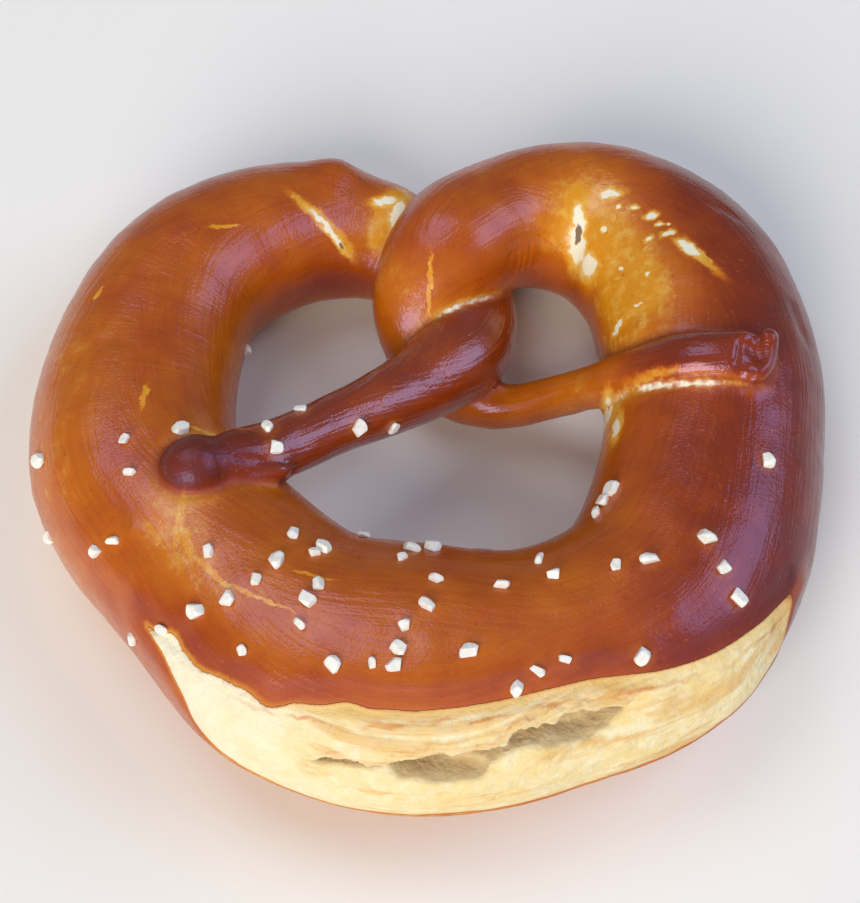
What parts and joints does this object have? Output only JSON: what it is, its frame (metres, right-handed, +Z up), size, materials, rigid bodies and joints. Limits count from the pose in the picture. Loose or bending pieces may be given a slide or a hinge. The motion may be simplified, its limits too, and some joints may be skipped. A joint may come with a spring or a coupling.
{
  "type": "soft pretzel",
  "caption": "Baked soft pretzel: a thick torn-open belly, side lobes and thin arms twisted and pressed onto the sides.",
  "frame": {"origin": "middle of the bounding box's bottom face, on the table the pretzel lies on", "axes": "+X across the pretzel from the left lobe to the right one, +Y from the torn belly towards the twist, +Z up"},
  "size_m": [0.1507, 0.1397, 0.0417],
  "materials": {
    "crust": "glossy brown baked crust"
  },
  "bodies": {
    "root": {"pretzel": "crust"}
  },
  "joints": []
}
